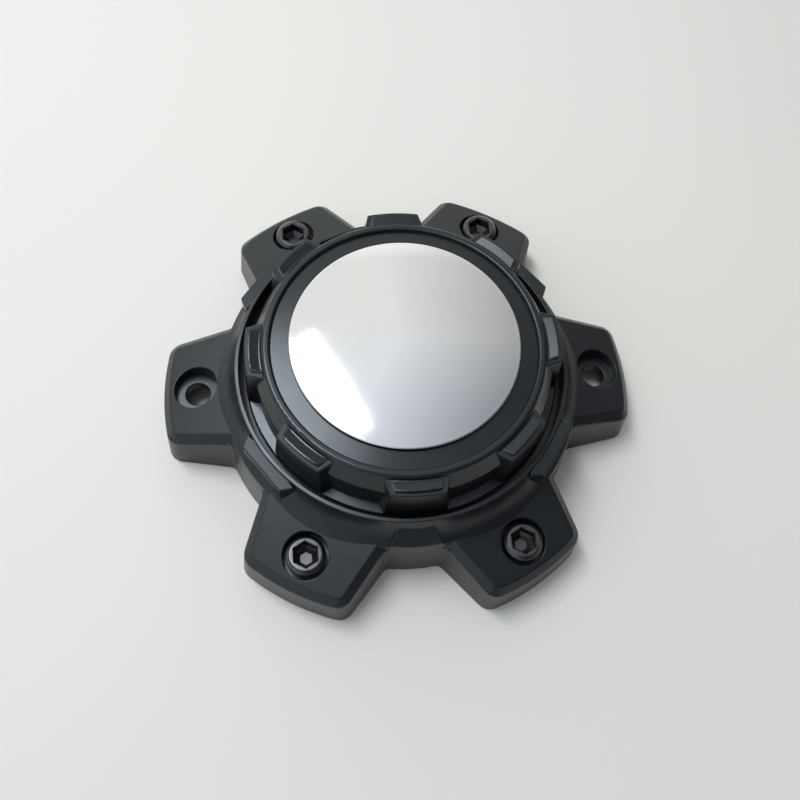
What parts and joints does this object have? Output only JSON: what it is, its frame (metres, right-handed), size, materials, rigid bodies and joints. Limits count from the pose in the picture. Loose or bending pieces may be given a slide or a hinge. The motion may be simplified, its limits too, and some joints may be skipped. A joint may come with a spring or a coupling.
{
  "type": "wheel centre cap",
  "caption": "Star-shaped wheel centre cap: a hollow moulded base with counterbored arms, a lugged crown and a domed mirror disc; it screws over a wheel's hub opening.",
  "frame": {"origin": "on the axis of the cap, in the plane of its mounting face", "axes": "+Z along the axis, out of the wheel; +X to one of the two open screw holes"},
  "size_m": [0.168, 0.1594, 0.0501],
  "materials": {
    "base_plastic": "satin black moulded plastic",
    "crown_plastic": "satin black moulded plastic",
    "disc_mirror": "mirror-bright plated dome",
    "foam_tape": "black foam tape",
    "bolt_black": "black oxide steel",
    "nut_steel": "zinc-plated steel",
    "screw_steel": "zinc-plated steel"
  },
  "bodies": {
    "root": {"star_base": "base_plastic", "crown": "crown_plastic", "mirror_disc": "disc_mirror", "adhesive_ring": "foam_tape", "socket_bolts": "bolt_black", "bolt_nuts": "nut_steel", "crown_screws": "screw_steel"}
  },
  "joints": []
}
